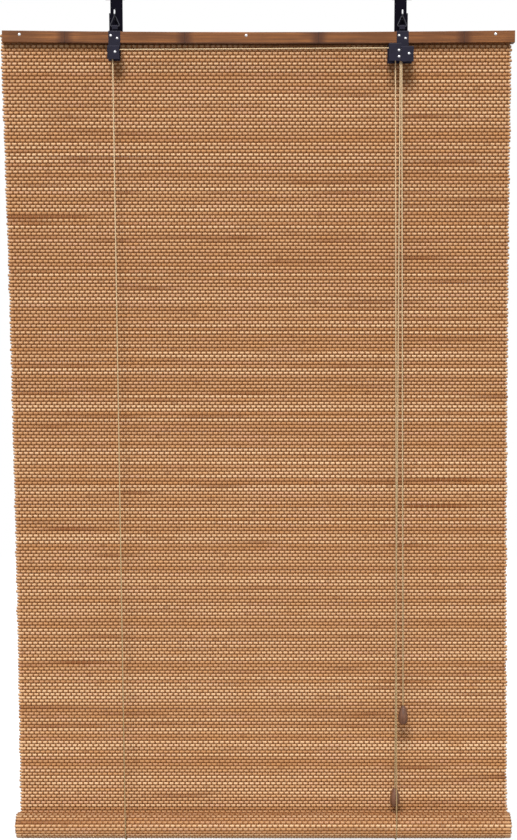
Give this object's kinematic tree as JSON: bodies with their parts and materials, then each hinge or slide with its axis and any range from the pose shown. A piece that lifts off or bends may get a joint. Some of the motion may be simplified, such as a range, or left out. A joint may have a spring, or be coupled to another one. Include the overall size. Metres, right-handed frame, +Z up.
{
  "type": "bamboo roll up blind",
  "caption": "Woven bamboo blind, part rolled at its foot, hung by wire rings on wall hooks; cords over pulleys and a cord lock raise the roll, with turned wooden pull knobs.",
  "frame": {"origin": "on the wall's face, midway between the two hangers' screw holes", "axes": "+X to the right along the head battens, +Y into the wall, +Z up; the blind's front looks towards -Y"},
  "size_m": [1.0162, 0.0719, 1.7249],
  "materials": {
    "black_steel": "black coating on pressed sheet steel, satin",
    "zinc_steel": "bright zinc, smooth",
    "dark_wire": "dull drawn wire",
    "batten_bamboo": "stained split bamboo, thin satin lacquer",
    "mat_slats": "thin bamboo slats woven with brown thread, matt",
    "rod_wood": "plain turned wood",
    "cord": "twisted beige cord",
    "knob_wood": "brown stained turned wood",
    "pulley_plastic": "off-white moulded nylon"
  },
  "bodies": {
    "wall_side": {"hanger_left": "black_steel", "hanger_right": "black_steel", "hook_left": "zinc_steel", "hook_right": "zinc_steel"},
    "left_ring": {"ring_left": "dark_wire"},
    "right_ring": {"ring_right": "dark_wire"},
    "head": {"bracket_left": "black_steel", "bracket_right": "black_steel", "lock_cover": "black_steel", "bracket_nails": "zinc_steel", "front_batten": "batten_bamboo", "rear_batten": "batten_bamboo", "batten_nails": "zinc_steel", "cord_staples": "zinc_steel", "axle_left": "zinc_steel", "axle_right": "zinc_steel", "guide_pin": "zinc_steel", "cam_pin": "zinc_steel", "mat": "mat_slats", "lift_front_left": "cord", "lift_front_right": "cord", "lift_back_left": "cord", "lift_back_right": "cord", "cross_cord": "cord", "turn_cord": "cord", "pull_cord_one": "cord", "pull_cord_two": "cord"},
    "loops": {"lift_loop_left": "cord", "lift_loop_right": "cord"},
    "rolled_mat": {"roll": "mat_slats", "bottom_rod": "rod_wood"},
    "left_pulley": {"pulley_left": "pulley_plastic"},
    "rear_pulley": {"pulley_right_rear": "pulley_plastic"},
    "front_pulley": {"pulley_right_front": "pulley_plastic"},
    "cam": {"lock_cam": "zinc_steel"},
    "first_knob": {"knob_one": "knob_wood"},
    "second_knob": {"knob_two": "knob_wood"}
  },
  "joints": [
    {"name": "ring_left_swing", "type": "hinge", "parent": "wall_side", "child": "left_ring", "pos_m": [-0.281, -0.021, -0.0542], "axis": [1, 0, 0], "range_deg": [-12, 8]},
    {"name": "ring_right_swing", "type": "hinge", "parent": "wall_side", "child": "right_ring", "pos_m": [0.281, -0.021, -0.0542], "axis": [1, 0, 0], "range_deg": [-12, 8]},
    {"name": "head_swing", "type": "hinge", "parent": "left_ring", "child": "head", "pos_m": [-0.281, -0.021, -0.0726], "axis": [1, 0, 0], "range_deg": [-12, 8]},
    {"name": "roll_lift", "type": "slide", "parent": "head", "child": "loops", "axis": [0, 0, 1], "range_m": [0, 1.45], "deforming": ["mat", "lift_front_left", "lift_front_right", "lift_back_left", "lift_back_right"]},
    {"name": "roll_turn", "type": "hinge", "parent": "loops", "child": "rolled_mat", "pos_m": [0.014, -0.033, -1.681], "axis": [1, 0, 0], "continuous": true},
    {"name": "pulley_left_turn", "type": "hinge", "parent": "head", "child": "left_pulley", "pos_m": [-0.2777, -0.049, -0.1277], "axis": [0, 1, 0], "continuous": true},
    {"name": "pulley_rear_turn", "type": "hinge", "parent": "head", "child": "rear_pulley", "pos_m": [0.2707, -0.052, -0.1266], "axis": [0, 1, 0], "continuous": true},
    {"name": "pulley_front_turn", "type": "hinge", "parent": "head", "child": "front_pulley", "pos_m": [0.2707, -0.06, -0.1266], "axis": [0, 1, 0], "continuous": true},
    {"name": "cam_turn", "type": "hinge", "parent": "head", "child": "cam", "pos_m": [0.2901, -0.05, -0.1328], "axis": [0, 1, 0], "range_deg": [0, 35]},
    {"name": "knob_one_pull", "type": "slide", "parent": "head", "child": "first_knob", "axis": [0, 0, -1], "range_m": [0, 2.9], "deforming": ["pull_cord_one"]},
    {"name": "knob_two_pull", "type": "slide", "parent": "head", "child": "second_knob", "axis": [0, -0.0117, -0.9999], "range_m": [0, 2.9], "deforming": ["pull_cord_two"]}
  ],
  "couplings": [
    {"joint": "ring_right_swing", "follows": "ring_left_swing", "ratio": 1},
    {"joint": "roll_turn", "follows": "roll_lift", "rad_per_m": -36.63},
    {"joint": "pulley_left_turn", "follows": "roll_lift", "rad_per_m": 377.36},
    {"joint": "pulley_rear_turn", "follows": "roll_lift", "rad_per_m": 377.36},
    {"joint": "pulley_front_turn", "follows": "roll_lift", "rad_per_m": 377.36},
    {"joint": "knob_one_pull", "follows": "roll_lift", "ratio": 2},
    {"joint": "knob_two_pull", "follows": "roll_lift", "ratio": 2}
  ]
}
